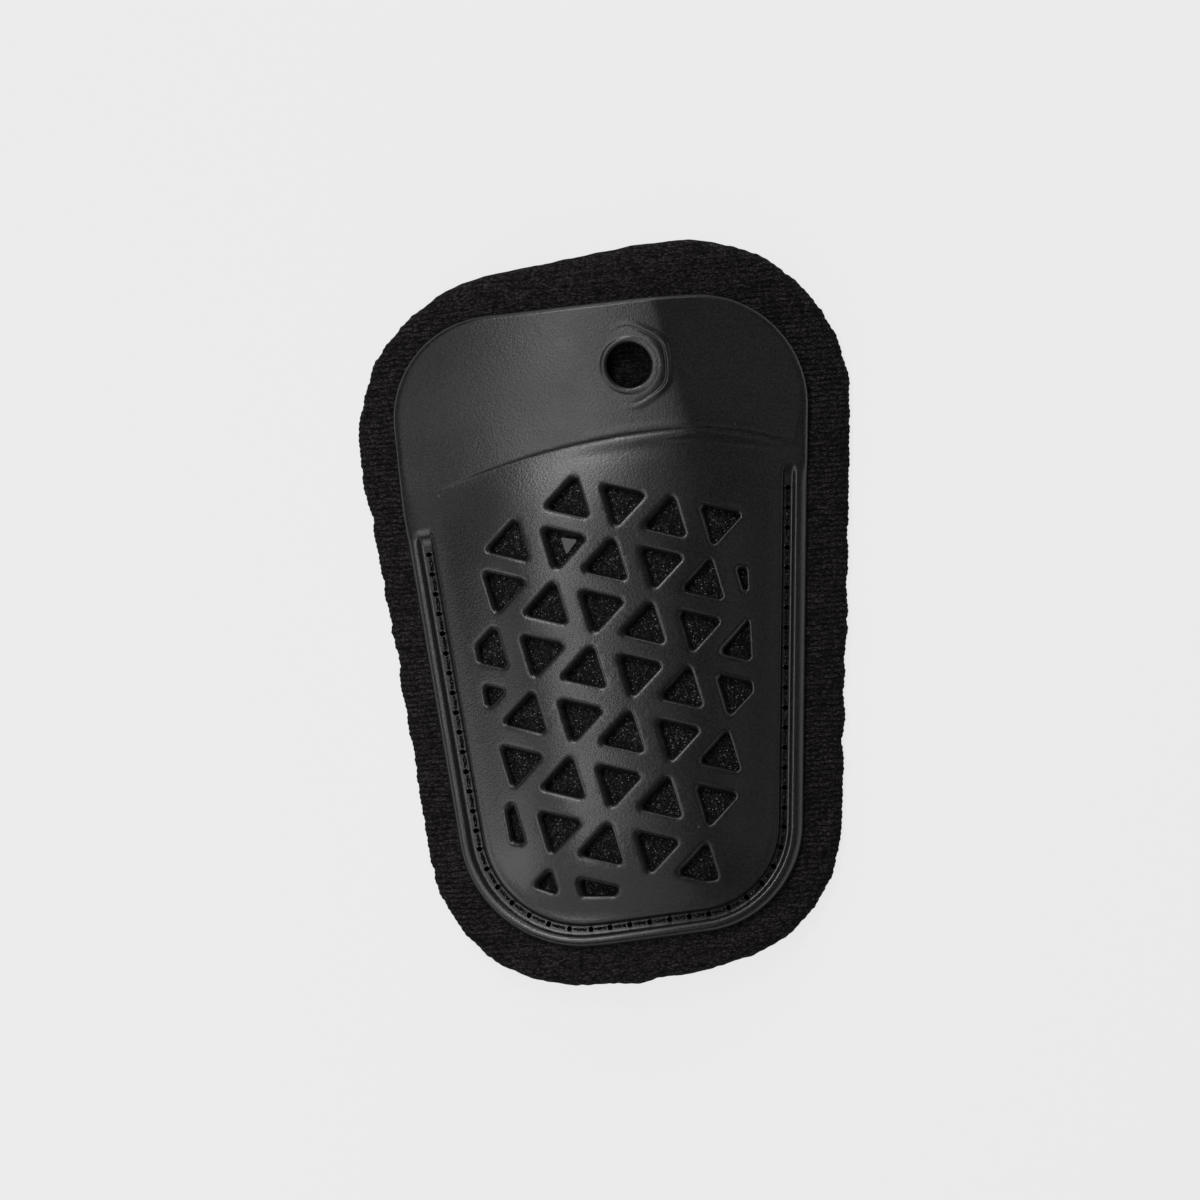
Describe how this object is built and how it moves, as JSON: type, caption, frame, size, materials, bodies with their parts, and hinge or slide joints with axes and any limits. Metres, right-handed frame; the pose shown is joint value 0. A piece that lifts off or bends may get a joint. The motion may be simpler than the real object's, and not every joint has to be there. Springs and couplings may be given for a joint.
{
  "type": "shin guard",
  "caption": "Arched shin guard: satin plastic shell with rounded triangular vents and a free flap with a round hole, sewn along a groove to a soft fabric pad.",
  "frame": {"origin": "middle of the outline seen from the front, in the plane under the pad's two long feet", "axes": "+X across the guard to the wearer's left as seen from the front, +Y up the guard to its free flap, +Z out from the shin"},
  "size_m": [0.0834, 0.1243, 0.0192],
  "materials": {
    "shell_plastic": "satin moulded",
    "insert_foam": "open-cell foam",
    "pad_fabric": "brushed knit"
  },
  "bodies": {
    "root": {"shell": "shell_plastic", "foam_insert": "insert_foam", "pad": "pad_fabric"}
  },
  "joints": []
}
